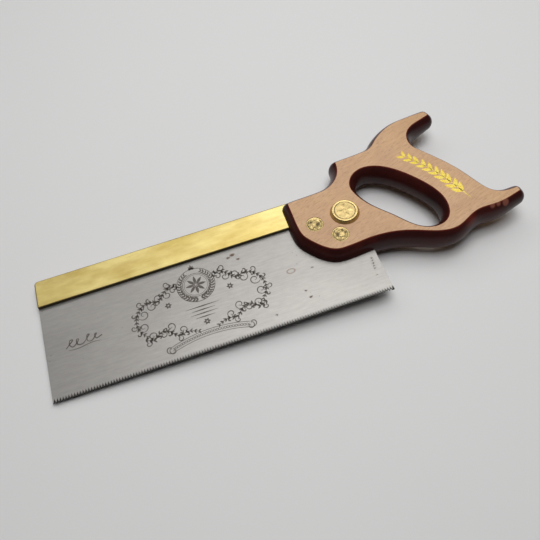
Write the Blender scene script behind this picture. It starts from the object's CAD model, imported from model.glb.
"""A brass-backed tenon saw, built as a small add-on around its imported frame."""

import math

import bmesh
import bpy
import numpy as np
from bpy.props import FloatProperty, FloatVectorProperty, IntProperty, PointerProperty
from bpy.types import Operator, Panel, PropertyGroup
from mathutils import Matrix, Vector, noise
from mathutils.geometry import delaunay_2d_cdt


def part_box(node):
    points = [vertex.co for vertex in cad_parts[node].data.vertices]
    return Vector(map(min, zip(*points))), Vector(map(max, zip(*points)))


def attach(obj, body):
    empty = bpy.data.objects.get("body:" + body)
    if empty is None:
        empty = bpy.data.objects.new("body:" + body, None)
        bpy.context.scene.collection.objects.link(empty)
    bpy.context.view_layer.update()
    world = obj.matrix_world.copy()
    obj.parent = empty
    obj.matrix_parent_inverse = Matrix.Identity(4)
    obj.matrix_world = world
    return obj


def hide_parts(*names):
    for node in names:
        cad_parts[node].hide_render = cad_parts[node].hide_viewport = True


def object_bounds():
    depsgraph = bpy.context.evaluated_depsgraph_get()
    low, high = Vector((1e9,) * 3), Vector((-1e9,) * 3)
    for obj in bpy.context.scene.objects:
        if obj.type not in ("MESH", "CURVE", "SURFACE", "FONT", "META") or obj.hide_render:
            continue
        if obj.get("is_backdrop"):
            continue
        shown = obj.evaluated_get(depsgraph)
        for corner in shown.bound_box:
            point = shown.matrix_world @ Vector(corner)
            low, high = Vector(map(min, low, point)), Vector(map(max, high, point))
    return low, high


bl_info = {
    "name": "Tenon Saw",
    "version": (1, 0, 0),
    "blender": (4, 5, 0),
    "location": "View3D > Sidebar > Tenon Saw",
    "description": "Builds a brass-backed tenon saw, its finishes and its stage",
    "category": "Object",
}

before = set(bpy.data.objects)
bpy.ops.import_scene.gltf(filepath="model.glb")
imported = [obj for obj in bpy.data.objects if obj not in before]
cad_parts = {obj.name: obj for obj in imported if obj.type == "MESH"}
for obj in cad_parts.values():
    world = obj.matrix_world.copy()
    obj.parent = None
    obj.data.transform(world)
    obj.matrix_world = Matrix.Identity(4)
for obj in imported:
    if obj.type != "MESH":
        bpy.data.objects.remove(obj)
cad_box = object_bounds()

MM = 0.001
ORIGIN = (0.0, 0.0, 0.0)
EVEN = (1.0, 1.0, 1.0)
SAW = "saw"

plate_low, plate_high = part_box("plate")
back_low, back_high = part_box("back")
handle_low, handle_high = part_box("handle")
CHEEK_TOP = handle_high.z
CHEEK_BOTTOM = handle_low.z
MID_PLANE = (CHEEK_TOP + CHEEK_BOTTOM) / 2
PLATE_FACE = plate_high.z
FACE_DEPTH = 0.9 * MM
SHANK = 2.3 * MM
SEATS = {"medallion": 1.0 * MM, "front": 2.2 * MM, "lower": 2.2 * MM}


def axis_of(node):
    """The point in the plane of the table that a turned CAD node's axis goes through."""
    low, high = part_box(node)
    return Vector(((low.x + high.x) / 2, (low.y + high.y) / 2, 0.0))


# ---------------------------------------------------------------- settings


def length(label, about, millimetres, low=0.0):
    """A length property, given in millimetres and kept in metres."""
    return FloatProperty(
        name=label, description=about, default=millimetres * MM, min=low,
        subtype="DISTANCE", unit="LENGTH", precision=5,
    )


def turn(label, about, degrees):
    """An angle property, given in degrees and kept in radians."""
    return FloatProperty(
        name=label, description=about, default=math.radians(degrees),
        subtype="ANGLE", unit="ROTATION",
    )


def colour(label, about, value):
    """A colour property."""
    return FloatVectorProperty(
        name=label, description=about, default=value, size=3, min=0.0, max=1.0,
        subtype="COLOR",
    )


def amount(label, about, value, low=0.0, high=1.0e6):
    """A plain number property."""
    return FloatProperty(name=label, description=about, default=value, min=low, max=high)


class HandleSettings(PropertyGroup):
    """Sizes and colours of the wooden handle."""

    edge_round: length("Edge Round", "How far the rounded edge stands out from the cheek", 5.5)
    point_spacing: length("Point Spacing", "Distance between points along the outline", 1.1)
    cheek_grid: length("Cheek Grid", "Distance between points inside a cheek", 5.0)
    horn_thinning: length("Horn Thinning", "Thickness taken off each cheek at a horn's tip", 2.4)
    horn_reach: length("Horn Reach", "How far from its tip a horn is thinned", 34.0)
    edge_rings: IntProperty(
        name="Edge Rings", description="Steps from one cheek to the other over the edge",
        default=20, min=4, max=64,
    )
    grain_turn: turn("Grain Turn", "Angle of the grain from the saw's length", 20.0)
    light_wood: colour("Light Wood", "Pale part of the beech", (0.78, 0.495, 0.275))
    dark_wood: colour("Dark Wood", "Darker part of the beech", (0.64, 0.38, 0.20))
    fleck: colour("Fleck", "Short flecks in the beech", (0.33, 0.17, 0.09))
    stain: colour("Stain", "Stained and polished edges", (0.036, 0.0085, 0.008))
    stain_glow: colour("Stain Glow", "Stain where it lies thin", (0.12, 0.018, 0.010))


class SteelSettings(PropertyGroup):
    """Colours of the plate and sizes of its etching."""

    steel: colour("Steel", "Ground steel", (0.385, 0.371, 0.348))
    steel_dark: colour("Steel Dark", "Darker ground steel", (0.27, 0.26, 0.247))
    rust: colour("Rust", "Specks of rust", (0.13, 0.06, 0.028))
    etch: colour("Etch", "Etched lines", (0.085, 0.073, 0.063))
    tooth_pitch: length("Tooth Pitch", "Distance between teeth", 2.0)
    first_gullet: length("First Gullet", "Place of the first gullet from the toe", 1.35)
    filed_height: length("Filed Height", "How high the filed faces of a gullet reach", 3.3)
    etch_centre: FloatVectorProperty(
        name="Etch Centre", description="Middle of the etched ornament, across the plate",
        default=(-0.0745, -0.0365), size=2, subtype="XYZ", unit="LENGTH",
    )
    etch_relief: length("Etch Relief", "Thickness of the etched lines", 0.03)
    etch_line: length("Etch Line", "Width of a fine etched line", 0.55)


class BrassSettings(PropertyGroup):
    """Colours and sizes of the brass pieces."""

    back_brass: colour("Back Brass", "Brass of the back", (0.60, 0.46, 0.15))
    back_pale: colour("Back Pale", "Brass where it is polished most", (0.80, 0.67, 0.28))
    screw_brass: colour("Screw Brass", "Brass of screws and nuts", (0.70, 0.53, 0.23))
    tarnish: colour("Tarnish", "Dark tarnish on brass", (0.045, 0.028, 0.014))
    face_radius: length("Face Radius", "Radius of the medallion's flat face", 9.9)
    head_dish: length("Head Dish", "How deep the small heads are dished", 0.6)
    turned_steps: IntProperty(
        name="Turned Steps", description="Points around a turned piece", default=120,
        min=24, max=360,
    )


class SprigSettings(PropertyGroup):
    """Sizes and colour of the gilt sprig on the grip."""

    gold: colour("Gold", "Gold leaf", (0.78, 0.55, 0.04))
    gold_pale: colour("Gold Pale", "Gold leaf that catches the light", (0.88, 0.72, 0.16))
    leaf_length: length("Leaf Length", "Length of the largest leaf", 9.3)
    leaf_width: length("Leaf Width", "Width of the largest leaf", 3.5)
    leaf_pairs: IntProperty(
        name="Leaf Pairs", description="Pairs of leaves on the stem", default=10, min=2, max=24,
    )
    spread: turn("Spread", "Angle between a leaf and the stem", 35.0)
    relief: length("Relief", "Thickness of the gold leaf", 0.04)


class StageSettings(PropertyGroup):
    """The table, the light and the camera."""

    lens: amount("Lens", "Focal length on a 36 mm sensor, in millimetres", 40.19)
    camera_at: FloatVectorProperty(
        name="Camera At", description="Place of the camera",
        default=(-0.06826, -0.25884, 0.40249), size=3, subtype="XYZ", unit="LENGTH",
    )
    pitch: turn("Pitch", "How far the camera looks down", 58.77)
    heading: turn("Heading", "How far the camera turns from +Y towards +X", 12.26)
    roll: turn("Roll", "Turn of the camera about its own view", -7.54)
    table: colour("Table", "Pale table", (0.82, 0.815, 0.81))
    rest_x: length("Rest X", "Where along the saw its lower cheek meets the table", 13.0, low=-1.0)
    sky: amount("Sky", "Brightness of the room around", 0.03)
    key_glow: amount("Key Glow", "Brightness of the soft panel overhead", 4.2)
    top_glow: amount("Top Glow", "Brightness of the soft panel that the plate mirrors", 2.1)
    back_glow: amount("Back Glow", "Brightness of the soft panel that the back mirrors", 1.2)


class SawSettings(PropertyGroup):
    """All settings of the saw."""

    handle: PointerProperty(type=HandleSettings)
    steel: PointerProperty(type=SteelSettings)
    brass: PointerProperty(type=BrassSettings)
    sprig: PointerProperty(type=SprigSettings)
    stage: PointerProperty(type=StageSettings)


def settings():
    return bpy.context.scene.tenon_saw


# ---------------------------------------------------------------- node trees


class Wire:
    """A node's output, so that maths on it can be written as a Python expression."""

    def __init__(self, tree, socket):
        self.tree = tree
        self.socket = socket

    def maths(self, operation, *values):
        sockets = {place: value for place, value in enumerate(values)}
        return self.tree.node("ShaderNodeMath", {"operation": operation}, sockets)

    def __add__(self, other):
        return self.maths("ADD", self, other)

    __radd__ = __add__

    def __sub__(self, other):
        return self.maths("SUBTRACT", self, other)

    def __rsub__(self, other):
        return self.maths("SUBTRACT", other, self)

    def __mul__(self, other):
        return self.maths("MULTIPLY", self, other)

    __rmul__ = __mul__

    def __truediv__(self, other):
        return self.maths("DIVIDE", self, other)

    def __abs__(self):
        return self.maths("ABSOLUTE", self)

    def clamp_on(self):
        self.socket.node.use_clamp = True
        return self

    def above(self, edge, blur):
        """0 below the edge and 1 above it, with a soft step of that blur."""
        return ((self - (edge - blur)) * (0.5 / blur)).clamp_on()

    def below(self, edge, blur):
        return 1.0 - self.above(edge, blur)


class Tree:
    """A shader or geometry tree under construction."""

    def __init__(self, tree):
        self.tree = tree

    def node(self, kind, settings=None, sockets=None, out=0):
        """Adds a node: its settings first, then the values or links of its sockets."""
        made = self.tree.nodes.new(kind)
        for key, value in (settings or {}).items():
            if key == "stops":
                self.set_stops(made.color_ramp, value)
            else:
                setattr(made, key, value)
        for key, value in (sockets or {}).items():
            self.join(value, made.inputs[key])
        return Wire(self, made.outputs[out]) if made.outputs else None

    def set_stops(self, ramp, stops):
        while len(ramp.elements) > 1:
            ramp.elements.remove(ramp.elements[-1])
        for place, (position, value) in enumerate(stops):
            element = ramp.elements[0] if place == 0 else ramp.elements.new(position)
            element.position = position
            element.color = value if len(value) == 4 else (*value, 1.0)

    def join(self, value, socket):
        if isinstance(value, Wire):
            self.tree.links.new(value.socket, socket)
            return
        if hasattr(socket, "default_value"):
            if socket.type == "RGBA" and len(value) == 3:
                value = (*value, 1.0)
            socket.default_value = value


class Finish(Tree):
    """A material whose nodes are built by expressions."""

    def __init__(self, name):
        self.material = bpy.data.materials.new(name)
        self.material.use_nodes = True
        super().__init__(self.material.node_tree)
        self.tree.nodes.clear()

    def place(self, scale, turned=0.0, centre=ORIGIN):
        """Object coordinates, centred, turned about the vertical and then stretched."""
        spot = self.node("ShaderNodeTexCoord", out=3)
        for name, value, plain_value in (
            ("Location", tuple(-c for c in centre), ORIGIN),
            ("Rotation", (0.0, 0.0, -turned), ORIGIN), ("Scale", scale, EVEN),
        ):
            if value != plain_value:
                spot = self.node(
                    "ShaderNodeMapping", {"vector_type": "POINT"}, {"Vector": spot, name: value},
                )
        return spot

    def axes(self):
        """The three object coordinates, each a number."""
        split = self.node("ShaderNodeSeparateXYZ", None, {"Vector": self.place(EVEN)})
        return [Wire(self, output) for output in split.socket.node.outputs]

    def noise(self, stretch, detail=3.0, roughness=0.55, distortion=0.0, turned=0.0):
        """Noise of this fineness along each axis, which may be turned about the vertical."""
        return self.node(
            "ShaderNodeTexNoise", {"noise_dimensions": "3D"},
            {"Vector": self.place(stretch, turned), "Scale": 1.0, "Detail": detail,
             "Roughness": roughness, "Distortion": distortion},
        )

    def cells(self, scale):
        return self.node(
            "ShaderNodeTexVoronoi", {"feature": "F1"},
            {"Vector": self.place(EVEN), "Scale": scale, "Randomness": 1.0},
        )

    def mix(self, factor, first, second):
        return self.node(
            "ShaderNodeMix", {"data_type": "RGBA", "clamp_factor": True},
            {0: factor, 6: first, 7: second}, out=2,
        )

    def all_of(self, masks):
        """The sum of several masks, held at 1."""
        total = None
        for mask in masks:
            total = mask if total is None else (total + mask).clamp_on()
        return total

    def attribute(self, name):
        return self.node("ShaderNodeAttribute", {"attribute_name": name}, out=2)

    def away_from(self, centre, stretch=EVEN):
        """Distance in metres from a point, along axes that may be stretched."""
        spot = self.place(stretch, 0.0, centre)
        return self.node("ShaderNodeVectorMath", {"operation": "LENGTH"}, {0: spot}, out=1)

    def bump(self, height, distance, strength):
        sockets = {"Height": height, "Distance": distance, "Strength": strength}
        return self.node("ShaderNodeBump", None, sockets)

    def surface(self, **sockets):
        """Ends the tree in a Principled shader with these sockets, in words for spaces."""
        named = {key.replace("_", " "): value for key, value in sockets.items()}
        shader = self.node("ShaderNodeBsdfPrincipled", None, named)
        self.node("ShaderNodeOutputMaterial", None, {"Surface": shader})
        return self.material


def group_tree(name, sockets):
    """A geometry tree with named inputs, given as (name, socket type, default)."""
    tree = bpy.data.node_groups.new(name, "GeometryNodeTree")
    face = tree.interface
    face.new_socket("Geometry", in_out="INPUT", socket_type="NodeSocketGeometry")
    for label, kind, default in sockets:
        socket = face.new_socket(label, in_out="INPUT", socket_type=kind)
        if default is not None:
            socket.default_value = default
    face.new_socket("Geometry", in_out="OUTPUT", socket_type="NodeSocketGeometry")
    return Tree(tree)


def grown(source, builder, values, name):
    """Runs a geometry tree on an object and returns the result as a plain mesh object."""
    modifier = source.modifiers.new("Grow", "NODES")
    modifier.node_group = builder.tree
    for item in builder.tree.interface.items_tree:
        if item.item_type == "SOCKET" and item.in_out == "INPUT" and item.name in values:
            modifier[item.identifier] = values[item.name]
    source.update_tag()
    mesh = evaluated_mesh(source)
    bpy.data.objects.remove(source)
    return placed(name, mesh)


# ---------------------------------------------------------------- mesh helpers


def placed(name, data):
    """Links a finished mesh or curve into the scene under a name."""
    data.name = name
    made = bpy.data.objects.new(name, data)
    bpy.context.scene.collection.objects.link(made)
    return made


def evaluated_mesh(source):
    """An object's mesh with its modifiers applied."""
    graph = bpy.context.evaluated_depsgraph_get()
    return bpy.data.meshes.new_from_object(source.evaluated_get(graph), depsgraph=graph)


def settled(shape, mesh, sharp):
    """Moves a bmesh into a mesh, smooth except along its sharp edges."""
    for face in shape.faces:
        face.smooth = True
    for edge in shape.edges:
        edge.smooth = len(edge.link_faces) == 2 and edge.calc_face_angle(0.0) < sharp
    shape.to_mesh(mesh)
    shape.free()


def piece_from(name, shape, sharp=math.radians(32.0), keep_normals=False):
    """Turns a bmesh into an object of that name."""
    if not keep_normals:
        bmesh.ops.recalc_face_normals(shape, faces=shape.faces)
    mesh = bpy.data.meshes.new(name)
    settled(shape, mesh, sharp)
    return placed(name, mesh)


def merged_copy(node):
    """A CAD node's mesh as a bmesh with its loose triangles joined."""
    shape = bmesh.new()
    shape.from_mesh(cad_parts[node].data)
    bmesh.ops.remove_doubles(shape, verts=shape.verts, dist=0.002 * MM)
    return shape


def block(low, high):
    """A closed box as a bmesh, for cutting."""
    shape = bmesh.new()
    bmesh.ops.create_cube(shape, size=1.0)
    middle = (low + high) / 2
    for vertex in shape.verts:
        vertex.co = Vector(
            [middle[k] + vertex.co[k] * (high[k] - low[k]) for k in range(3)]
        )
    return shape


def walls(shape, rings):
    """Faces between rings of points that follow each other. A ring may be one point."""
    steps = max(len(ring) for ring in rings)
    made = []
    for one, two in zip(rings, rings[1:]):
        for step in range(steps):
            after = (step + 1) % steps
            corners = dict.fromkeys((
                one[step % len(one)], one[after % len(one)],
                two[after % len(two)], two[step % len(two)],
            ))
            if len(corners) > 2:
                made.append(shape.faces.new(list(corners)))
    return made


def slab(shape, outline, low_z, high_z):
    """Adds a closed thin plate over an outline."""
    low, high = (
        [shape.verts.new((x, y, height)) for x, y in outline] for height in (low_z, high_z)
    )
    shape.faces.new(low[::-1])
    shape.faces.new(high)
    walls(shape, [low, high])


def turned(profile, centre, steps, lift=None, soil=None):
    """Turns a profile of (radius, height, grime) points about a vertical axis.

    lift(radius, angle) may raise a head's face, and soil(radius, angle) may dirty it. The
    attribute from_axis keeps the distance from the axis, and the attribute grime how dirty
    a point is. The grime may be left out.
    """
    shape = bmesh.new()
    layer = shape.verts.layers.float.new("from_axis")
    dirt = shape.verts.layers.float.new("grime")
    rings = []
    for radius, height, *grime in profile:
        ring = []
        count = 1 if radius < 1e-9 else steps
        for step in range(count):
            angle = 2 * math.pi * step / steps
            on_face = height > CHEEK_TOP - FACE_DEPTH
            raised = lift(radius, angle) if lift and on_face else 0.0
            vertex = shape.verts.new((
                centre.x + radius * math.cos(angle),
                centre.y + radius * math.sin(angle),
                height + raised,
            ))
            vertex[layer] = radius
            vertex[dirt] = grime[0] if grime else 0.0
            if soil and on_face:
                vertex[dirt] += soil(radius, angle)
            ring.append(vertex)
        rings.append(ring)
    walls(shape, rings)
    return shape


def cut(target, tool_shape):
    """Takes a closed shape out of an object's mesh."""
    tool = piece_from("tool", tool_shape)
    modifier = target.modifiers.new("Cut", "BOOLEAN")
    modifier.operation = "DIFFERENCE"
    modifier.solver = "EXACT"
    modifier.object = tool
    mesh = evaluated_mesh(target)
    target.modifiers.clear()
    target.data = mesh
    bpy.data.objects.remove(tool)


def resharpened(piece, sharp=math.radians(30.0)):
    """Smooths an object's mesh again after cutting."""
    shape = bmesh.new()
    shape.from_mesh(piece.data)
    bmesh.ops.remove_doubles(shape, verts=shape.verts, dist=0.001 * MM)
    bmesh.ops.dissolve_degenerate(shape, edges=shape.edges, dist=0.001 * MM)
    settled(shape, piece.data, sharp)


def strokes(name, lines):
    """A curve object of poly splines, each given as a list of (x, y, width) at one height."""
    curve = bpy.data.curves.new(name, "CURVE")
    curve.dimensions = "3D"
    for line in lines:
        spline = curve.splines.new("POLY")
        spline.points.add(len(line) - 1)
        for point, (x, y, z, width) in zip(spline.points, line):
            point.co = (x, y, z, 1.0)
            point.radius = width
    return placed(name, curve)


# ---------------------------------------------------------------- handle shape


BETWEEN = 24        # points put between two of an outline's own before it is made even
ROW_PITCH = 0.87    # distance between the rows of a cheek's points, in parts of their pitch


def section_loops(shape, height):
    """Closed loops of points where a bmesh meets a level plane, longest first."""
    found = bmesh.ops.bisect_plane(
        shape, geom=shape.verts[:] + shape.edges[:] + shape.faces[:],
        plane_co=(0, 0, height), plane_no=(0, 0, 1), clear_inner=True, clear_outer=True,
        dist=1e-7,
    )["geom_cut"]
    edges = {item for item in found if isinstance(item, bmesh.types.BMEdge)}
    loops = []
    while edges:
        edge = edges.pop()
        start, at = edge.verts
        loop = [start.co.copy(), at.co.copy()]
        while at is not start:
            onward = [e for e in at.link_edges if e in edges]
            if not onward:
                break
            edges.discard(onward[0])
            at = onward[0].other_vert(at)
            if at is not start:
                loop.append(at.co.copy())
        loops.append(np.array([(p.x, p.y) for p in loop]))
    return sorted(loops, key=lambda loop: -around(loop))


def around(loop):
    return np.linalg.norm(np.roll(loop, -1, 0) - loop, axis=1).sum()


def signed_area(loop):
    after = np.roll(loop, -1, 0)
    return 0.5 * (loop[:, 0] * after[:, 1] - after[:, 0] * loop[:, 1]).sum()


def resampled(loop, spacing):
    """The same closed line with even points, smooth between the ones it had.

    It starts at the leftmost point, because a section's loop may start anywhere.
    """
    loop = np.roll(loop, -np.argmin(loop @ (1.0, 0.01)), 0)
    keep = np.linalg.norm(np.roll(loop, -1, 0) - loop, axis=1) > 1e-6
    loop = loop[keep]
    steps = np.linalg.norm(np.roll(loop, -1, 0) - loop, axis=1)
    before, after = np.roll(loop, 1, 0), np.roll(loop, -1, 0)
    back_step = np.roll(steps, 1)
    tangent = (
        (loop - before) / back_step[:, None] * steps[:, None]
        + (after - loop) / steps[:, None] * back_step[:, None]
    ) / (steps + back_step)[:, None]
    next_tangent = np.roll(tangent, -1, 0)
    t = (np.arange(BETWEEN) / BETWEEN)[:, None]
    dense = np.concatenate([
        (2 * t**3 - 3 * t**2 + 1) * loop[k] + (t**3 - 2 * t**2 + t) * tangent[k] * steps[k]
        + (-2 * t**3 + 3 * t**2) * after[k] + (t**3 - t**2) * next_tangent[k] * steps[k]
        for k in range(len(loop))
    ])
    run = np.concatenate([[0], np.cumsum(np.linalg.norm(np.diff(dense, axis=0), axis=1))])
    total = run[-1] + np.linalg.norm(dense[0] - dense[-1])
    wanted = max(24, int(round(total / spacing)))
    marks = np.arange(wanted) / wanted * total
    closed = np.concatenate([dense, dense[:1]])
    run = np.append(run, total)
    return np.stack([np.interp(marks, run, closed[:, k]) for k in (0, 1)], 1)


def inward_normals(loop):
    """Unit vectors to the left of the way the loop runs."""
    along = np.roll(loop, -1, 0) - np.roll(loop, 1, 0)
    along /= np.linalg.norm(along, axis=1)[:, None]
    return np.stack([-along[:, 1], along[:, 0]], 1)


def inside(points, loop):
    """Which points lie inside a closed loop."""
    hit = np.zeros(len(points), bool)
    after = np.roll(loop, -1, 0)
    for (ax, ay), (bx, by) in zip(loop, after):
        if ay == by:
            continue
        crosses = (ay > points[:, 1]) != (by > points[:, 1])
        at = ax + (points[:, 1] - ay) * (bx - ax) / (by - ay)
        hit ^= crosses & (points[:, 0] < at)
    return hit


class HandleForm:
    """The handle's outline, its rounded edge and its thickness."""

    def __init__(self, choice):
        self.choice = choice
        level = back_high.z + 1.5 * MM
        outer, hole = section_loops(merged_copy("handle"), level)[:2]
        if signed_area(outer) < 0:
            outer = outer[::-1]
        if signed_area(hole) > 0:
            hole = hole[::-1]
        self.loops = [resampled(loop, choice.point_spacing) for loop in (outer, hole)]
        self.half = (CHEEK_TOP - CHEEK_BOTTOM) / 2
        self.sweep = (self.half**2 + choice.edge_round**2) / (2 * choice.edge_round)
        right = handle_high.x
        self.horns = [
            Vector((right - 0.031, handle_high.y - 0.006)),
            Vector((right - 0.003, handle_high.y - 0.108)),
        ]

    def half_thickness(self, x, y):
        thinned = 0.0
        for tip in self.horns:
            away = (Vector((x, y)) - tip).length / self.choice.horn_reach
            near = max(0.0, 1.0 - away)
            thinned = max(thinned, near * near * (3 - 2 * near))
        return self.half - self.choice.horn_thinning * thinned

    def inset(self, share):
        """How far the edge stands back from its widest line, at a share of the thickness."""
        depth = share * self.half
        return self.sweep - math.sqrt(self.sweep**2 - depth**2)

    def build(self):
        shape = bmesh.new()
        arris = shape.verts.layers.float.new("arris")
        rings = self.choice.edge_rings
        rims = {1: [], -1: []}
        for loop in self.loops:
            normals = inward_normals(loop)
            made = []
            for ring in range(rings + 1):
                share = math.sin(math.pi * (ring / rings - 0.5))
                inset = self.inset(share)
                row = []
                for point, normal in zip(loop, normals):
                    x, y = point + normal * inset
                    tall = self.half_thickness(x, y)
                    vertex = shape.verts.new((x, y, MID_PLANE + share * tall))
                    vertex[arris] = share
                    row.append(vertex)
                made.append(row)
            for face in walls(shape, made):
                face.material_index = 1
            rims[-1].append(made[0])
            rims[1].append(made[-1])
        for side, rim in rims.items():
            self.cheek(shape, arris, rim, side)
        return shape

    def cheek(self, shape, arris, rim, side):
        """Fills one cheek between its rims with a grid of points."""
        border = [np.array([v.co.xy for v in row]) for row in rim]
        pitch = self.choice.cheek_grid
        low = border[0].min(0)
        high = border[0].max(0)
        grid = np.array([
            (low[0] + pitch * (i + 0.5 * (j % 2)), low[1] + pitch * ROW_PITCH * j)
            for i in range(int((high[0] - low[0]) / pitch) + 2)
            for j in range(int((high[1] - low[1]) / pitch / ROW_PITCH) + 2)
        ])
        keep = inside(grid, border[0]) & ~inside(grid, border[1])
        edge_points = np.concatenate(border)
        apart = np.linalg.norm(grid[:, None, :] - edge_points[None], axis=2).min(1)
        grid = grid[keep & (apart > pitch * 0.45)]
        verts = [v for row in rim for v in row]
        for x, y in grid:
            vertex = shape.verts.new((x, y, MID_PLANE + side * self.half_thickness(x, y)))
            vertex[arris] = 0.0
            verts.append(vertex)
        flat = [Vector((v.co.x, v.co.y)) for v in verts]
        edges, start = [], 0
        for row in rim:
            count = len(row)
            edges += [(start + k, start + (k + 1) % count) for k in range(count)]
            start += count
        _, _, faces, origins, _, _ = delaunay_2d_cdt(flat, edges, [], 0, 1e-9)
        corners = [[origins[k][0] for k in face] for face in faces]
        middles = np.array([
            (sum((flat[k] for k in picked), Vector((0, 0))) / len(picked))[:]
            for picked in corners
        ])
        wanted = inside(middles, border[0]) & ~inside(middles, border[1])
        for picked, good in zip(corners, wanted):
            if good:
                shape.faces.new([verts[k] for k in picked]).material_index = 0


# ---------------------------------------------------------------- finishes

# Marks of age. Places are in metres in the saw's frame, and widths are in millimetres.
KNOT = (0.1333, 0.0092)
WORN_SPOTS = (
    (0.1586, -0.0402, 0.0222, 2.3), (0.1637, -0.0401, 0.0218, 2.0),
    (0.1703, -0.0400, 0.0204, 2.8),
)
RED_PATCH = (0.1381, -0.0450, 0.0210)
RUST_RING = (-0.0034, -0.0340)
RING_RADIUS = 1.9 * MM
RUST_SPECKS = (
    (0.0030, -0.0599, 0.6), (0.0012, -0.0538, 0.45), (-0.0254, -0.0651, 0.4),
    (0.0125, -0.0366, 0.45), (-0.0411, -0.0040, 1.1), (-0.0379, -0.0092, 0.7),
    (-0.0448, -0.0055, 0.8), (0.0574, -0.0450, 0.5), (0.0571, -0.0472, 0.4),
    (0.0567, -0.0496, 0.5), (0.0564, -0.0520, 0.4), (0.0561, -0.0541, 0.4),
    (0.0555, -0.0600, 0.3),
)

# Colours that only change another one here and there.
BLUSH = (0.50, 0.285, 0.19)
STAIN_DEEP = (0.012, 0.003, 0.003)
STAIN_AT_ARRIS = (0.20, 0.030, 0.018)
STAIN_WORN = (0.30, 0.10, 0.065)
STAIN_RED = (0.17, 0.022, 0.014)
FILED_FACE = (0.012, 0.010, 0.009)
BROWN_BRASS = (0.42, 0.27, 0.07)


def dimmed(colour_value, share):
    return [c * share for c in colour_value]


def beech_finish(choice):
    f = Finish("waxed_beech")
    turned_by = choice.grain_turn
    broad = f.noise((12, 48, 40), 3.0, 0.5, 0.5, turned=turned_by)
    streak = f.noise((45, 620, 500), 3.0, 0.6, 0.2, turned=turned_by)
    fine = f.noise((190, 2300, 1500), 2.0, 0.6, turned=turned_by)
    ray = f.noise((240, 1500, 900), 2.0, 0.6, turned=turned_by)
    blush = f.noise((30, 38, 26), 3.0, 0.55, turned=turned_by)
    tone = ((streak - 0.5) * 1.5 + (broad - 0.5) * 1.3 + 0.5).clamp_on()
    wood = f.mix(tone, choice.light_wood, choice.dark_wood)
    wood = f.mix(blush.above(0.60, 0.12) * 0.30, wood, BLUSH)
    wood = f.mix(fine.above(0.54, 0.12) * 0.45, wood, dimmed(choice.dark_wood, 0.86))
    wood = f.mix(ray.above(0.60, 0.05) * 0.40, wood, choice.fleck)
    knot = f.away_from((*KNOT, CHEEK_TOP)).below(0.55 * MM, 0.25 * MM)
    wood = f.mix(knot, wood, choice.fleck)
    height = streak * 0.4 + fine * 0.6
    return f.surface(
        Base_Color=wood, Roughness=0.46 + fine * 0.16,
        Normal=f.bump(height, 0.04 * MM, 0.25), Coat_Weight=0.06, Coat_Roughness=0.35,
    )


def stained_finish(choice):
    f = Finish("stained_edge")
    mottle = f.noise((30, 30, 60), 3.0, 0.6)
    streak = f.noise((35, 700, 420), 2.0, 0.6, turned=choice.grain_turn)
    share = f.attribute("arris")
    paint = f.mix(mottle.above(0.55, 0.18) * 0.4, choice.stain, choice.stain_glow)
    paint = f.mix(streak.above(0.62, 0.1) * 0.35, paint, STAIN_DEEP)
    paint = f.mix(share.above(0.955, 0.03) * 0.8, paint, STAIN_AT_ARRIS)
    uneven = (mottle - 0.5) * MM
    worn = f.all_of(
        (f.away_from(at) + uneven * 3.0).below(wide * MM, 0.7 * MM) for *at, wide in WORN_SPOTS
    )
    paint = f.mix(worn * 0.75, paint, STAIN_WORN)
    patch = f.away_from(RED_PATCH) + uneven * 5.0
    paint = f.mix(patch.below(5.0 * MM, 3.0 * MM) * 0.6, paint, STAIN_RED)
    return f.surface(
        Base_Color=paint, Roughness=0.24 + mottle * 0.12 + worn * 0.3,
        Normal=f.bump(streak * 0.5 + mottle * 0.5, 0.12 * MM, 0.35),
        Coat_Weight=0.07 - worn * 0.07, Coat_Roughness=0.15, Specular_IOR_Level=0.18,
    )


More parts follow.
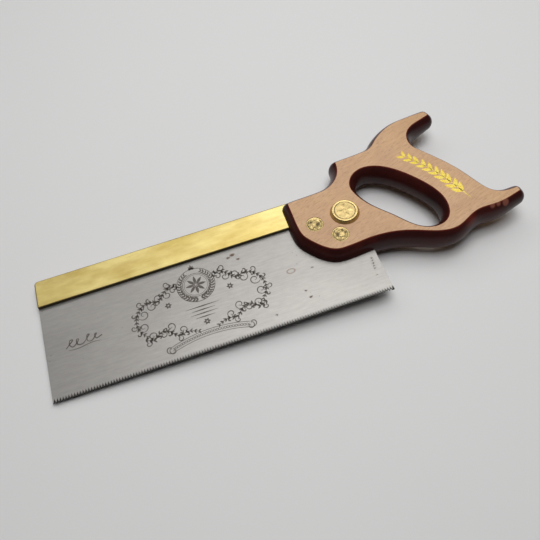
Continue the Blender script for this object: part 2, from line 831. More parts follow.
def steel_finish(choice):
    f = Finish("ground_steel")
    cloud = f.noise((14, 34, 10), 4.0, 0.55)
    band = f.noise((18, 420, 10), 3.0, 0.6)
    scratch = f.noise((30, 2600, 10), 3.0, 0.7)
    mottle = f.noise((120, 420, 10), 3.0, 0.6)
    tone = (
        (scratch - 0.5) * 1.0 + (band - 0.5) * 0.3 + (cloud - 0.5) * 0.7 + (mottle - 0.5) * 0.7
        + 0.5
    ).clamp_on()
    metal = f.mix(tone, choice.steel_dark, choice.steel)
    ragged = f.noise((1300, 1300, 10), 3.0, 0.7)
    pits = f.cells(260.0) + (ragged - 0.5) * 0.3
    speckled = f.noise((30, 30, 10), 2.0, 0.5).above(0.60, 0.04)
    metal = f.mix(pits.below(0.10, 0.04) * speckled * 0.55, metal, choice.rust)
    uneven = (ragged - 0.5) * MM
    rust = f.all_of(
        (f.away_from((x, y, PLATE_FACE), (0.6, 1.0, 8.0)) + uneven * 2.6).below(
            wide * MM, 0.35 * MM)
        for x, y, wide in RUST_SPECKS
    )
    metal = f.mix(rust * 0.8, metal, choice.rust)
    ring = f.away_from((*RUST_RING, PLATE_FACE), (0.62, 1.0, 8.0)) + uneven * 0.4
    ring = abs(ring - RING_RADIUS).below(0.35 * MM, 0.25 * MM)
    metal = f.mix(ring * 0.55, metal, choice.rust)
    along, across, height = f.axes()
    step = (along - (plate_low.x + choice.first_gullet)) / choice.tooth_pitch + 0.5
    from_gullet = abs(step.maths("FRACT", step) - 0.5)
    filed = choice.filed_height - from_gullet * 2.0 * choice.filed_height + 0.2 * MM
    filed = (across - plate_low.y - filed).below(0.0, 0.2 * MM)
    edge = height.below(PLATE_FACE - 0.08 * MM, 0.03 * MM)
    filed = (filed + edge * across.below(plate_low.y + 1.6 * MM, 0.1 * MM)).clamp_on()
    metal = f.mix(filed * 0.95, metal, FILED_FACE)
    return f.surface(
        Base_Color=metal, Metallic=0.95 - rust * 0.7 - filed * 0.2,
        Roughness=0.33 + band * 0.10 + scratch * 0.10 + rust * 0.3 + filed * 0.2,
        Normal=f.bump(scratch, 0.012 * MM, 0.6),
    )


def etched_finish(choice):
    f = Finish("etched_line")
    grain = f.noise((1500, 1500, 10), 2.0, 0.6)
    fade = f.noise((60, 60, 10), 2.0, 0.5)
    line = f.mix(grain * 0.5 + fade * 0.5, choice.etch, dimmed(choice.etch, 1.9))
    return f.surface(
        Base_Color=line, Metallic=0.35, Roughness=0.55 + grain * 0.2,
        Normal=f.bump(grain, 0.01 * MM, 0.5),
    )


def back_finish(choice):
    f = Finish("polished_back")
    brushed = f.noise((30, 2400, 1600), 3.0, 0.65)
    cloud = f.noise((26, 60, 40), 3.0, 0.55)
    stain = f.noise((38, 110, 60), 4.0, 0.65)
    wavy = f.noise((30, 160, 60), 2.0, 0.5, turned=0.05)
    metal = f.mix(cloud.above(0.5, 0.13), choice.back_brass, choice.back_pale)
    metal = f.mix(brushed * 0.35, metal, dimmed(choice.back_brass, 0.72))
    metal = f.mix(stain.above(0.56, 0.12) * 0.35, metal, BROWN_BRASS)
    along, across, _ = f.axes()
    under = across.below(back_low.y + 0.22 * MM, 0.12 * MM)
    ridge = across.above(back_high.y - 0.7 * MM, 0.35 * MM)
    toe = along.below(back_low.x + 0.5 * MM, 0.4 * MM)
    dull = (under * 0.93 + ridge * 0.55 + toe * 0.6).clamp_on()
    polished = (along + (cloud - 0.5) * 0.12).above(-0.01, 0.03)
    metal = f.mix(dull, metal, choice.tarnish)
    return f.surface(
        Base_Color=metal, Metallic=1.0 - dull * 0.6,
        Roughness=0.25 + cloud * 0.12 + stain * 0.12 - polished * 0.10 + brushed * 0.08
        + dull * 0.2,
        Normal=f.bump(brushed * 0.5 + wavy * 0.5, 0.09 * MM, 0.5),
    )


def turned_finish(choice):
    f = Finish("turned_brass")
    radius = f.attribute("from_axis")
    rings = f.node(
        "ShaderNodeTexNoise", {"noise_dimensions": "1D"},
        {"W": radius, "Scale": 5200.0, "Detail": 2.0, "Roughness": 0.6},
    )
    patch = f.noise((260, 260, 160), 3.0, 0.6)
    smear = f.noise((190, 420, 200), 3.0, 0.6, 0.8, turned=0.6)
    dirt = f.attribute("grime")
    grimy = (dirt * (0.55 + smear * 0.9) + smear.above(0.66, 0.06) * 0.45).clamp_on()
    metal = f.mix(
        patch.above(0.5, 0.2), choice.screw_brass, dimmed(choice.screw_brass, 0.8),
    )
    fine = f.noise((1100, 1100, 400), 2.0, 0.6)
    metal = f.mix(fine.above(0.55, 0.1) * 0.35, metal, dimmed(choice.screw_brass, 0.55))
    metal = f.mix(grimy * 0.85, metal, choice.tarnish)
    return f.surface(
        Base_Color=metal, Metallic=1.0 - grimy * 0.5,
        Roughness=0.26 + patch * 0.14 + grimy * 0.25,
        Normal=f.bump(rings * 0.4 + patch * 0.6, 0.03 * MM, 0.6),
    )


def gold_finish(choice):
    f = Finish("gold_leaf")
    crumple = f.noise((700, 700, 200), 3.0, 0.6)
    gold = f.mix(crumple.above(0.5, 0.15), choice.gold, choice.gold_pale)
    return f.surface(
        Base_Color=gold, Metallic=0.55, Roughness=0.34 + crumple * 0.15,
        Normal=f.bump(crumple, 0.03 * MM, 0.5),
    )


def table_finish(choice):
    f = Finish("pale_table")
    soft = f.noise((9, 9, 9), 2.0, 0.5)
    paper = f.noise((900, 900, 900), 2.0, 0.5)
    shade = f.mix(soft, choice.table, dimmed(choice.table, 0.985))
    return f.surface(
        Base_Color=shade, Roughness=0.6 + soft * 0.05,
        Normal=f.bump(paper, 0.02 * MM, 0.25),
    )


# ---------------------------------------------------------------- operators


class SAW_OT_handle(Operator):
    """Builds the beech handle with its rounded, stained edges"""

    bl_idname = "tenon_saw.handle"
    bl_label = "Handle"

    def execute(self, context):
        choice = settings().handle
        form = HandleForm(choice)
        piece = piece_from("handle_wood", form.build())
        piece.data.materials.append(beech_finish(choice))
        piece.data.materials.append(stained_finish(choice))
        slack = 20 * MM
        cut(piece, block(
            Vector((back_low.x, back_low.y, back_low.z)),
            Vector((back_high.x, back_high.y + slack, back_high.z)),
        ))
        cut(piece, block(
            Vector((plate_low.x, plate_low.y - slack, plate_low.z)),
            Vector((plate_high.x, plate_high.y + 0.5 * MM, plate_high.z)),
        ))
        for name in ("medallion", "front", "lower"):
            self.bore(piece, name)
        resharpened(piece)
        if len(piece.data.polygons) < 1000:
            raise RuntimeError("the handle lost its shape while it was cut")
        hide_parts("handle")
        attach(piece, SAW)
        return {"FINISHED"}

    def bore(self, piece, name):
        """Cuts the hole of one saw screw: head recess, shank and nut counterbore."""
        low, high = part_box(name + "_screw")
        nut_low, nut_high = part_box(name + "_nut")
        head = (high.x - low.x) / 2 + 0.12 * MM
        nut = (nut_high.x - nut_low.x) / 2 + 0.1 * MM
        shank = SHANK + 0.2 * MM
        seat = CHEEK_TOP - SEATS[name]
        below, above = CHEEK_BOTTOM - 2 * MM, CHEEK_TOP + 2 * MM
        nut_seat = nut_high.z + 0.1 * MM
        profile = [
            (0.0, below), (nut, below), (nut, nut_seat), (shank, nut_seat), (shank, seat),
            (head, seat), (head, above), (0.0, above),
        ]
        cut(piece, turned(profile, axis_of(name + "_screw"), 96))


def repaint(node, finish):
    """Gives a CAD node that keeps its shape a new material."""
    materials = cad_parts[node].data.materials
    materials.clear()
    materials.append(finish)


class SAW_OT_plate(Operator):
    """Gives the toothed plate its ground steel finish"""

    bl_idname = "tenon_saw.plate"
    bl_label = "Plate"

    def execute(self, context):
        repaint("plate", steel_finish(settings().steel))
        return {"FINISHED"}


class SAW_OT_back(Operator):
    """Gives the stiff back its polished brass finish"""

    bl_idname = "tenon_saw.back"
    bl_label = "Back"

    def execute(self, context):
        repaint("back", back_finish(settings().brass))
        return {"FINISHED"}


# The medallion's groove, as (radius, depth, grime), and the depth of the field inside it.
GROOVE = (
    (8.45, 0.0, 0.0), (8.30, 0.05, 0.3), (8.10, 0.24, 0.6), (7.90, 0.24, 0.6),
    (7.70, 0.10, 0.3), (7.50, 0.06, 0.1),
)
FIELD_DEPTH = 0.12 * MM
# The small heads: name, seed and smears as (radius, angle, size), in millimetres and radians.
FLUSH_HEADS = (
    ("front", 3.7, ((2.4, -0.3, 1.5), (3.6, 2.2, 1.3))),
    ("lower", 9.1, ((2.3, 2.9, 1.5), (4.1, 0.1, 1.0), (4.2, 0.9, 0.9))),
)


class SAW_OT_screws(Operator):
    """Builds the medallion and the two flush saw screws"""

    bl_idname = "tenon_saw.screws"
    bl_label = "Saw Screws"

    def execute(self, context):
        choice = settings().brass
        finish = turned_finish(choice)
        self.medallion(choice, finish)
        for name, seed, smears in FLUSH_HEADS:
            self.flush(choice, finish, name, seed, smears)
        return {"FINISHED"}

    def finish_piece(self, name, shape, finish):
        piece = piece_from(name + "_brass", shape, math.radians(38))
        piece.data.materials.append(finish)
        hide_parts(name)
        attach(piece, SAW)

    def shank(self, name):
        low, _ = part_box(name)
        return [(0.0, low.z), (SHANK - 0.2 * MM, low.z), (SHANK, low.z + 0.2 * MM)]

    def medallion(self, choice, finish):
        low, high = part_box("medallion_screw")
        radius = (high.x - low.x) / 2
        top = high.z
        under = CHEEK_TOP - SEATS["medallion"]
        face = choice.face_radius
        profile = self.shank("medallion_screw") + [
            (SHANK, under), (radius - 0.15 * MM, under), (radius, under + 0.15 * MM, 1.0),
            (radius, CHEEK_TOP + 0.30 * MM, 0.7), (radius - 0.10 * MM, CHEEK_TOP + 0.50 * MM),
            (face + 0.30 * MM, top - 0.40 * MM), (face + 0.10 * MM, top - 0.12 * MM),
            (face - 0.15 * MM, top - 0.02 * MM), (face - 0.40 * MM, top),
        ]
        profile += [(r * MM, top - depth * MM, grime) for r, depth, grime in GROOVE]
        profile += [(r * MM, top - FIELD_DEPTH, 0.15) for r in np.linspace(7.0, 0.3, 22)]
        profile.append((0.0, top - FIELD_DEPTH, 0.15))

        def rosette(r, angle):
            """Eight low petals around a small boss, in a ring of beads."""
            r_mm = r / MM
            if r_mm > 7.4 or r_mm < 1e-3:
                return 0.0
            petal = max(0.0, math.cos(4 * angle)) ** 0.7
            reach = math.sin(math.pi * min(1.0, max(0.0, (r_mm - 1.6) / 5.2)))
            boss = max(0.0, 1 - (r_mm / 1.5) ** 2)
            bead = 0.3 if 6.3 < r_mm < 6.9 and math.cos(40 * angle) > 0 else 0.0
            return (0.16 * petal * reach + 0.12 * boss + 0.1 * bead) * MM

        shape = turned(profile, axis_of("medallion_screw"), choice.turned_steps, rosette)
        self.finish_piece("medallion_screw", shape, finish)

    def flush(self, choice, finish, name, seed, smears):
        """A small dished head with dark smears."""
        low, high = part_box(name + "_screw")
        radius = (high.x - low.x) / 2
        top = high.z - 0.12 * MM
        under = CHEEK_TOP - SEATS[name]
        profile = self.shank(name + "_screw") + [
            (SHANK, under), (radius, under), (radius, top - 0.25 * MM, 0.8),
            (radius - 0.12 * MM, top - 0.04 * MM, 0.5), (radius - 0.25 * MM, top, 0.1),
        ]
        profile += [(r, top, 0.3) for r in np.linspace(radius - 0.8 * MM, 0.35 * MM, 18)]
        profile.append((0.0, top, 0.3))
        rim = radius - 0.5 * MM

        def dish(r, angle):
            """An uneven hollow inside the rim."""
            if r > rim:
                return 0.0
            spot = Vector((r * math.cos(angle), r * math.sin(angle), 0)) / MM
            rough = noise.noise(spot * 0.34 + Vector((seed, 0, 0)))
            rough += 0.4 * noise.noise(spot * 0.9 + Vector((0, seed, 0)))
            share = min(1.0, (rim - r) / (1.1 * MM))
            return -share * (choice.head_dish * 0.75 + choice.head_dish * 0.7 * rough)

        def smeared(r, angle):
            total = 0.0
            for away, at, size in smears:
                spot = Vector((r * math.cos(angle), r * math.sin(angle))) / MM
                gap = (spot - away * Vector((math.cos(at), math.sin(at)))).length / size
                total += 0.9 * math.exp(-gap * gap)
            return total if r < rim else 0.0

        centre = axis_of(name + "_screw")
        shape = turned(profile, centre, choice.turned_steps, dish, smeared)
        self.finish_piece(name + "_screw", shape, finish)


class SAW_OT_nuts(Operator):
    """Builds the three split nuts with softened edges"""

    bl_idname = "tenon_saw.nuts"
    bl_label = "Split Nuts"

    def execute(self, context):
        finish = turned_finish(settings().brass)
        for body in ("medallion_nut", "front_nut", "lower_nut"):
            shape = merged_copy(body)
            bmesh.ops.dissolve_limit(
                shape, angle_limit=math.radians(1.0), verts=shape.verts, edges=shape.edges,
            )
            layer = shape.verts.layers.float.new("from_axis")
            centre = axis_of(body)
            for vertex in shape.verts:
                vertex[layer] = (Vector((vertex.co.x, vertex.co.y, 0)) - centre).length
            piece = piece_from(body + "_brass", shape, math.radians(30), keep_normals=True)
            bevel = piece.modifiers.new("Soft Edges", "BEVEL")
            bevel.width = 0.16 * MM
            bevel.segments = 2
            bevel.limit_method = "ANGLE"
            bevel.angle_limit = math.radians(40)
            piece.data.materials.append(finish)
            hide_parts(body)
            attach(piece, body)
        return {"FINISHED"}


def spray_tree():
    """Sets leaves in pairs along every line of a curve, smaller towards the line's end."""
    t = group_tree("Spray", [
        ("Leaf", "NodeSocketObject", None), ("Pairs", "NodeSocketInt", 8),
        ("Spread", "NodeSocketFloat", 0.6), ("Tip Size", "NodeSocketFloat", 0.6),
        ("Seed", "NodeSocketInt", 4), ("Finish", "NodeSocketMaterial", None),
    ])
    inputs = t.node("NodeGroupInput")
    given = {output.name: Wire(t, output) for output in inputs.socket.node.outputs}
    points = t.node(
        "GeometryNodeCurveToPoints", {"mode": "COUNT"},
        {"Curve": given["Geometry"], "Count": given["Pairs"]},
    )
    tangent = Wire(t, points.socket.node.outputs["Tangent"])
    split = t.node("ShaderNodeSeparateXYZ", None, {"Vector": tangent})
    x, y = split, Wire(t, split.socket.node.outputs[1])
    heading = x.maths("ARCTAN2", y, x)
    index = t.node("GeometryNodeInputIndex")
    along = index.maths("MODULO", index, given["Pairs"]) / given["Pairs"]
    leaf = t.node(
        "GeometryNodeObjectInfo", {"transform_space": "ORIGINAL"},
        {"Object": given["Leaf"]}, out=4,
    )
    sides = []
    for place, sign in enumerate((1.0, -1.0)):
        wander = t.node(
            "FunctionNodeRandomValue", {"data_type": "FLOAT"},
            {2: -0.10, 3: 0.10, "Seed": given["Seed"] + place * 7}, out=1,
        )
        angle = heading + given["Spread"] * sign + wander
        spin = t.node("ShaderNodeCombineXYZ", None, {"Z": angle})
        size = 1.0 - along * (1.0 - given["Tip Size"]) + wander * 0.6
        scale = t.node("ShaderNodeCombineXYZ", None, {"X": size, "Y": size, "Z": 1.0})
        sides.append(t.node(
            "GeometryNodeInstanceOnPoints", None,
            {"Points": points, "Instance": leaf, "Rotation": spin, "Scale": scale},
        ))
    both = t.node("GeometryNodeJoinGeometry", None, {"Geometry": sides[0]})
    t.tree.links.new(sides[1].socket, both.socket.node.inputs[0])
    plain = t.node("GeometryNodeRealizeInstances", None, {"Geometry": both})
    painted = t.node(
        "GeometryNodeSetMaterial", None, {"Geometry": plain, "Material": given["Finish"]},
    )
    t.node("NodeGroupOutput", None, {"Geometry": painted})
    return t


def leaf_object(long, wide, relief, steps=9):
    """A thin closed leaf with its stalk at the origin, pointing along +X."""
    shape = bmesh.new()
    sides = []
    for k in range(steps + 1):
        t = k / steps
        half = 0.5 * wide * math.sin(math.pi * t**0.8) ** 0.8 if 0 < t < 1 else 0.0
        bend = 0.12 * wide * math.sin(math.pi * t)
        sides.append((long * t, half, bend))
    rim = [(x, half + bend) for x, half, bend in sides]
    rim += [(x, bend - half) for x, half, bend in sides[-2:0:-1]]
    slab(shape, rim, 0.0, relief)
    return piece_from("leaf", shape)


def sprayed(name, stems, leaf, finish, pairs, spread, tip_size, seed):
    """Leaves in pairs along stems of (x, y, z, width), as one object. Uses up the leaf."""
    made = grown(
        strokes(name, stems), spray_tree(),
        {"Leaf": leaf, "Pairs": pairs, "Spread": spread, "Tip Size": tip_size, "Seed": seed,
         "Finish": finish}, name,
    )
    bpy.data.objects.remove(leaf)
    return made


def ribbon_sides(line):
    """The two sides of a flat ribbon over (x, y, z, width) points."""
    points = np.array(line)
    along = np.gradient(points[:, :2], axis=0)
    along /= np.maximum(np.linalg.norm(along, axis=1), 1e-12)[:, None]
    across = np.stack([-along[:, 1], along[:, 0]], 1) * points[:, 3:4] / 2
    return points[:, :2] + across, points[:, :2] - across


def ribbons(name, lines, relief):
    """Closed flat ribbons over lines of (x, y, z, width), as one object."""
    shape = bmesh.new()
    for line in lines:
        left, right = ribbon_sides(line)
        z = line[0][2]
        low, high = z - relief / 2, z + relief / 2
        rows = [
            [shape.verts.new(spot) for spot in ((*a, low), (*b, low), (*b, high), (*a, high))]
            for a, b in zip(left, right)
        ]
        walls(shape, rows)
        shape.faces.new(rows[0][::-1])
        shape.faces.new(rows[-1])
    return piece_from(name, shape)


# The ornament, in millimetres about its centre. A knot is (x, y), and a curl is (share of
# the vine, side, radius, turns). The right half is given, and the left half mirrors it.
RING_HEIGHT = 17.0
WREATH_RADIUS = 12.3
TURN_STEPS = 26
GARLAND_REACH = 29.0
GARLAND_LEVEL = -26.5
GARLAND_RISE = 4.5
GARLAND_WIDTH = 4.6
RULES = (13.0, 9.0, 10.5, 7.5)
UPPER_VINE = (
    (14.0, 19.0), (19.0, 23.0), (25.0, 18.5), (30.0, 13.0), (37.0, 14.5), (44.0, 12.0),
    (49.0, 4.0), (49.0, -5.0), (44.5, -12.0),
)
UPPER_CURLS = (
    (0.05, -1, 2.9, 1.1), (0.16, 1, 2.7, 1.1), (0.28, -1, 3.3, 1.2), (0.40, 1, 3.2, 1.2),
    (0.50, -1, 4.0, 1.3), (0.62, 1, 2.8, 1.1), (0.72, -1, 4.6, 1.35), (0.86, 1, 2.6, 1.1),
    (0.93, -1, 4.0, 1.3),
)
LOWER_VINE = (
    (46.0, -14.5), (40.0, -17.0), (34.0, -12.5), (28.0, -14.0), (22.0, -19.5), (15.0, -18.5),
    (8.0, -21.0),
)
LOWER_CURLS = (
    (0.10, 1, 2.6, 1.1), (0.24, -1, 3.4, 1.25), (0.42, 1, 2.8, 1.1), (0.52, -1, 3.8, 1.3),
    (0.70, 1, 2.5, 1.1), (0.80, -1, 3.2, 1.2),
)
FLOURISH_AT = Vector((-0.1632, -0.0355))
FLOURISH = (
    (-13.5, -2.5), (-10.5, 1.0), (-8.0, 4.2), (-10.0, 4.6), (-10.6, 0.5), (-8.5, -2.6),
    (-5.0, 0.6), (-3.6, 3.6), (-5.2, 3.4), (-4.8, -1.6), (-1.0, -2.2), (2.6, 2.2), (4.4, 4.8),
    (2.8, 4.6), (2.4, -0.8), (5.4, -2.2), (8.4, 1.6), (9.6, 3.8), (8.2, 3.2), (9.0, -1.2),
    (13.4, 0.6),
)


def smooth_path(knots, steps=90):
    """Points along a smooth line through a few knots."""
    knots = np.array(knots, float)
    ends = (2 * knots[0] - knots[1], 2 * knots[-1] - knots[-2])
    reach = np.vstack([ends[0], knots, ends[1]])
    path = []
    for spot in np.linspace(0, len(knots) - 1, steps):
        k = min(int(spot), len(knots) - 2)
        t = spot - k
        a, b, c, d = reach[k:k + 4]
        path.append(0.5 * (
            2 * b + (c - a) * t + (2 * a - 5 * b + 4 * c - d) * t * t
            + (3 * b - a - 3 * c + d) * t**3
        ))
    return [tuple(point) for point in path]


def vine(knots, width, curls):
    """A stem through knots, with a scroll at each (share, side, radius, turns)."""
    path = smooth_path(knots)
    count = len(path)
    lines = [[
        (x, y, width * (0.8 + 0.5 * math.sin(math.pi * k / count)))
        for k, (x, y) in enumerate(path)
    ]]
    for share, side, radius, turns in curls:
        k = int(share * (count - 2))
        (x, y), (x2, y2) = path[k], path[k + 1]
        heading = math.atan2(y2 - y, x2 - x) + side * 0.45
        lines.append(spiral(x, y, heading, radius, turns, side, width))
        lines.append(spiral(x, y, heading - side * 0.5, 0.55 * radius, 0.8, -side, 1.3 * width))
    return path, lines


def mirrored(line, hand):
    return [(hand * x, y, width) for x, y, width in line]


def on_plate(lines, centre, relief):
    """Lines in millimetres about a point, as metres just above the plate."""
    return [
        [(centre[0] + x * MM, centre[1] + y * MM, PLATE_FACE + relief / 2, width * MM)
         for x, y, width in line]
        for line in lines
    ]


def petal(centre, angle, start, long, wide, steps=7):
    """The outline of a petal that points away from a centre."""
    rim = []
    for k in list(range(steps + 1)) + list(range(-steps + 1, 0)):
        t = abs(k) / steps
        half = math.copysign(0.5 * wide * math.sin(math.pi * t**0.75), k)
        if abs(half) < 1e-6:
            half = 0.0
        r = start + long * t
        rim.append((
            centre[0] + r * math.cos(angle) - half * math.sin(angle),
            centre[1] + r * math.sin(angle) + half * math.cos(angle),
        ))
    return rim


def petals_around(centre, count, start, long, wide, first=0.0):
    return [
        petal(centre, first + 2 * math.pi * k / count, start, long, wide) for k in range(count)
    ]


def prisms(name, outlines, relief):
    """Thin closed plates on the steel, one for each outline."""
    shape = bmesh.new()
    for outline in outlines:
        slab(shape, outline, PLATE_FACE, PLATE_FACE + relief)
    return piece_from(name, shape)


def spiral(x, y, heading, radius, turns, hand, width, grow=0.12):
    """A scroll that starts at a point and winds in: hand is 1 to the left, -1 to the right."""
    line = []
    count = max(6, int(TURN_STEPS * turns))
    step_angle = 2 * math.pi * turns / count
    for k in range(count + 1):
        t = k / count
        line.append((x, y, width * (0.55 + 0.9 * math.sin(math.pi * min(1, t * 1.1)))))
        r = radius * (1 - t) + radius * grow * t
        x += r * step_angle * math.cos(heading)
        y += r * step_angle * math.sin(heading)
        heading += hand * step_angle
    line.append((x, y, width * 1.9))
    return line


class SAW_OT_etching(Operator):
    """Etches a generic scrollwork ornament and a plain flourish on the plate"""

    bl_idname = "tenon_saw.etching"
    bl_label = "Etching"

    def execute(self, context):
        choice = settings().steel
        finish = etched_finish(choice)
        relief = choice.etch_relief
        fine = choice.etch_line / MM
        centre = Vector(choice.etch_centre)
        upper, upper_lines = vine(UPPER_VINE, fine, UPPER_CURLS)
        lower, lower_lines = vine(LOWER_VINE, fine, LOWER_CURLS)
        both_sides = upper_lines + lower_lines + self.ribbon_end(fine)
        lines = [mirrored(line, hand) for line in both_sides for hand in (1, -1)]
        lines += self.middle(fine)
        scrolls = ribbons("etched_scrolls", on_plate(lines, centre, relief), relief)
        flourish = ribbons(
            "etched_flourish", on_plate(self.flourish(fine), FLOURISH_AT, relief), relief,
        )
        petals = prisms("etched_flowers", [
            [(centre.x + x * MM, centre.y + y * MM) for x, y in outline]
            for outline in self.flowers()
        ], relief)
        for piece in (scrolls, flourish, petals):
            piece.data.materials.append(finish)
            self.settle(piece)
        wreath = [
            (WREATH_RADIUS * math.sin(a), RING_HEIGHT - WREATH_RADIUS * math.cos(a))
            for a in np.linspace(0.10, 2.55, 30)
        ]
        for name, path, pairs, size, seed in (
            ("etched_wreath", wreath, 15, 3.5, 2), ("etched_upper_leaves", upper, 22, 3.3, 3),
            ("etched_lower_leaves", lower, 15, 3.3, 5),
        ):
            stems = [
                [(centre.x + hand * x * MM, centre.y + y * MM, PLATE_FACE, 1.0)
                 for x, y in path]
                for hand in (1, -1)
            ]
            leaf = leaf_object(size * MM, 0.42 * size * MM, relief)
            self.settle(sprayed(name, stems, leaf, finish, pairs, 0.7, 0.75, seed))
        return {"FINISHED"}

    def settle(self, piece):
        if not piece.data.polygons:
            raise RuntimeError(piece.name + " came out empty")
        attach(piece, SAW)

    def middle(self, fine):
        """Rings round a rosette, short rules and a twisted garland on the centre line."""
        lines = []
        for radius, width in ((14.6, 0.9), (10.1, 0.8), (8.9, 0.55)):
            lines.append([
                (radius * math.cos(a), RING_HEIGHT + radius * math.sin(a), fine * width)
                for a in np.linspace(0, 2 * math.pi, 65)
            ])
        for drop, wave, phase in (
            (0.0, 0.0, 0.0), (GARLAND_WIDTH, 0.0, 0.0),
            (GARLAND_WIDTH / 2, 1.1, 0.0), (GARLAND_WIDTH / 2, 1.1, math.pi),
        ):
            level = GARLAND_LEVEL - drop
            lines.append([
                (GARLAND_REACH * t,
                 level + GARLAND_RISE * (1 - t * t) + wave * math.sin(t * 46.0 + phase),
                 fine * 0.8)
                for t in np.linspace(-1, 1, 61)
            ])
        for row, wide in enumerate(RULES):
            lines.append([
                (wide * t, -2.0 - 3.0 * row, fine * (0.35 + 1.5 * (1 - abs(t))))
                for t in np.linspace(-1, 1, 9)
            ])
        return lines

    def ribbon_end(self, fine):
        """The curled end of the garland, on the right."""
        return [
            spiral(GARLAND_REACH, GARLAND_LEVEL, -0.3, 3.2, 1.0, -1, fine, 0.2),
            spiral(GARLAND_REACH, GARLAND_LEVEL - GARLAND_WIDTH, -0.3, 3.4, 0.9, 1, fine, 0.2),
        ]

    def flowers(self):
        """A large rosette in the ring, a crest above it and small flowers beside it."""
        outlines = petals_around((0.0, RING_HEIGHT), 8, 1.6, 6.4, 2.3)
        outlines += petals_around((0.0, RING_HEIGHT), 8, 0.5, 2.6, 0.8, math.pi / 8)
        for x, y in ((24.0, 7.0), (-24.0, 7.0), (0.0, -15.5)):
            outlines += petals_around((x, y), 6, 0.5, 2.3, 1.5)
        for k in range(5):
            outlines.append(petal(
                (0.0, RING_HEIGHT + 13.8), math.pi / 2 + (k - 2) * 0.5, 0.4, 4.6 - abs(k - 2),
                1.5,
            ))
        return outlines

    def flourish(self, fine):
        """A plain pen flourish, with no letters in it."""
        swing = smooth_path(FLOURISH, 110)
        line = [
            (x, 0.8 * y, fine * (0.95 + 0.7 * abs(math.sin(k * 0.16))))
            for k, (x, y) in enumerate(swing)
        ]
        under = [
            (12.0 * t, -3.8 + 0.7 * math.sin(t * 3.0), fine * (0.4 + 0.8 * (1 - t * t)))
            for t in np.linspace(-1, 1, 24)
        ]
        return [line, under]


SPRIG_TAIL = Vector((0.1468, -0.0272))
SPRIG_BASE = Vector((0.1440, -0.0200))
SPRIG_TIP = Vector((0.1178, 0.0285))
SPRIG_BOW = Vector((0.0022, 0.0016))
STEM_STEPS = 32


class SAW_OT_sprig(Operator):
    """Lays a gilt leaf sprig on the grip"""

    bl_idname = "tenon_saw.sprig"
    bl_label = "Gilt Sprig"

    def execute(self, context):
        choice = settings().sprig
        finish = gold_finish(choice)
        leaf = leaf_object(choice.leaf_length, choice.leaf_width, choice.relief)
        stem = []
        for k in range(STEM_STEPS + 1):
            t = k / STEM_STEPS
            at = SPRIG_BASE.lerp(SPRIG_TIP, t) + SPRIG_BOW * math.sin(math.pi * t)
            stem.append((at.x, at.y, CHEEK_TOP, 1.0))
        spray = sprayed(
            "gilt_leaves", [stem], leaf, finish, choice.leaf_pairs, choice.spread, 0.72, 5,
        )
        line = [(*SPRIG_TAIL, 0.35)]
        line += [(x, y, 0.75 - 0.4 * k / STEM_STEPS) for k, (x, y, _, _) in enumerate(stem)]
        stalk = ribbons(
            "gilt_stem",
            [[(x, y, CHEEK_TOP + choice.relief / 2, w * MM) for x, y, w in line]],
            choice.relief,
        )
        stalk.data.materials.append(finish)
        for piece in (spray, stalk):
            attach(piece, SAW)
        return {"FINISHED"}


# Soft panels: name, place, the point that each faces, and its two sides, in metres.
PANELS = (
    ("key", (0.08, -0.02, 1.30), (0.08, -0.02, 0.0), 0.8, 0.8),
    ("top", (0.60, 0.52, 1.20), (0.60, 0.52, 0.0), 1.3, 0.65),
    ("back", (-0.20, 1.15, 1.20), (0.0, 0.0, 0.0), 2.0, 0.7),
)
TABLE_REACH = 3.0


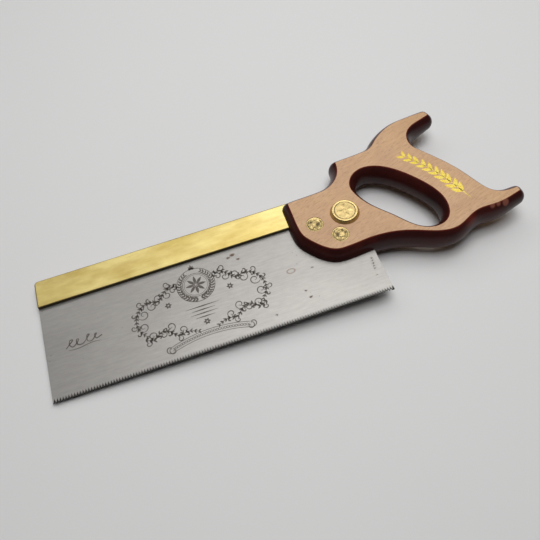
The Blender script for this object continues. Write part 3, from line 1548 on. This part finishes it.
class SAW_OT_stage(Operator):
    """Sets the table, the soft light and the camera"""

    bl_idname = "tenon_saw.stage"
    bl_label = "Stage"

    def execute(self, context):
        choice = settings().stage
        scene = context.scene
        scene.view_settings.view_transform = "Standard"
        self.table(choice)
        self.room(scene, choice)
        self.camera(scene, choice)
        return {"FINISHED"}

    def table(self, choice):
        """The saw lies on its lower cheek and on the toe of its back, so the table seems
        to slope a little towards the cheek in the saw's own frame."""
        slope = (CHEEK_BOTTOM - back_low.z) / (choice.rest_x - back_low.x)
        shape = bmesh.new()
        corners = [(i * TABLE_REACH, j * TABLE_REACH)
                   for i, j in ((-1, -1), (1, -1), (1, 1), (-1, 1))]
        shape.faces.new([
            shape.verts.new((x, y, CHEEK_BOTTOM + slope * (x - choice.rest_x)))
            for x, y in corners
        ])
        floor = piece_from("table", shape, keep_normals=True)
        floor.data.materials.append(table_finish(choice))
        floor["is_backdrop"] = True

    def room(self, scene, choice):
        world = bpy.data.worlds.new("soft_room")
        scene.world = world
        world.use_nodes = True
        background = world.node_tree.nodes["Background"]
        background.inputs["Color"].default_value = (1.0, 1.0, 1.0, 1.0)
        background.inputs["Strength"].default_value = choice.sky
        for name, at, aim, wide, tall in PANELS:
            glow = getattr(choice, name + "_glow")
            light = bpy.data.lights.new(name + "_panel", "AREA")
            light.shape = "RECTANGLE"
            light.size = wide
            light.size_y = tall
            light.energy = glow * math.pi * wide * tall
            lamp = bpy.data.objects.new(name + "_panel", light)
            scene.collection.objects.link(lamp)
            lamp.location = at
            lamp.rotation_euler = (Vector(aim) - Vector(at)).to_track_quat("-Z", "Y").to_euler()

    def camera(self, scene, choice):
        pitch, heading, roll = choice.pitch, choice.heading, choice.roll
        ahead = Vector((
            math.sin(heading) * math.cos(pitch), math.cos(heading) * math.cos(pitch),
            -math.sin(pitch),
        ))
        right = Vector((math.cos(heading), -math.sin(heading), 0.0))
        up = right.cross(ahead)
        level = Matrix((right, up, -ahead)).transposed().to_4x4()
        lens = bpy.data.cameras.new("camera")
        lens.lens = choice.lens
        lens.sensor_width = 36.0
        lens.clip_start = 0.01
        eye = bpy.data.objects.new("camera", lens)
        scene.collection.objects.link(eye)
        eye.matrix_world = (
            Matrix.Translation(choice.camera_at) @ level @ Matrix.Rotation(roll, 4, "Z")
        )
        scene.camera = eye


class SAW_PT_panel(Panel):
    """Lists the saw's pieces in the sidebar"""

    bl_idname = "SAW_PT_panel"
    bl_label = "Tenon Saw"
    bl_space_type = "VIEW_3D"
    bl_region_type = "UI"
    bl_category = "Tenon Saw"

    def draw(self, context):
        for step in STEPS:
            self.layout.operator(step.bl_idname)


STEPS = (
    SAW_OT_stage, SAW_OT_plate, SAW_OT_back, SAW_OT_handle, SAW_OT_screws, SAW_OT_nuts,
    SAW_OT_etching, SAW_OT_sprig,
)
CLASSES = (
    HandleSettings, SteelSettings, BrassSettings, SprigSettings, StageSettings, SawSettings,
    *STEPS, SAW_PT_panel,
)


def register():
    for one in CLASSES:
        bpy.utils.register_class(one)
    bpy.types.Scene.tenon_saw = PointerProperty(type=SawSettings)


def unregister():
    del bpy.types.Scene.tenon_saw
    for one in reversed(CLASSES):
        bpy.utils.unregister_class(one)


def plain(box):
    return [[float(value) for value in corner] for corner in box]


def main():
    register()
    bpy.ops.tenon_saw.stage()
    bpy.ops.tenon_saw.plate()
    bpy.ops.tenon_saw.back()
    bpy.ops.tenon_saw.handle()
    bpy.ops.tenon_saw.screws()
    bpy.ops.tenon_saw.nuts()
    bpy.ops.tenon_saw.etching()
    bpy.ops.tenon_saw.sprig()
    {"cad": plain(cad_box), "visual": plain(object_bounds())}


if __name__ == "__main__":
    main()
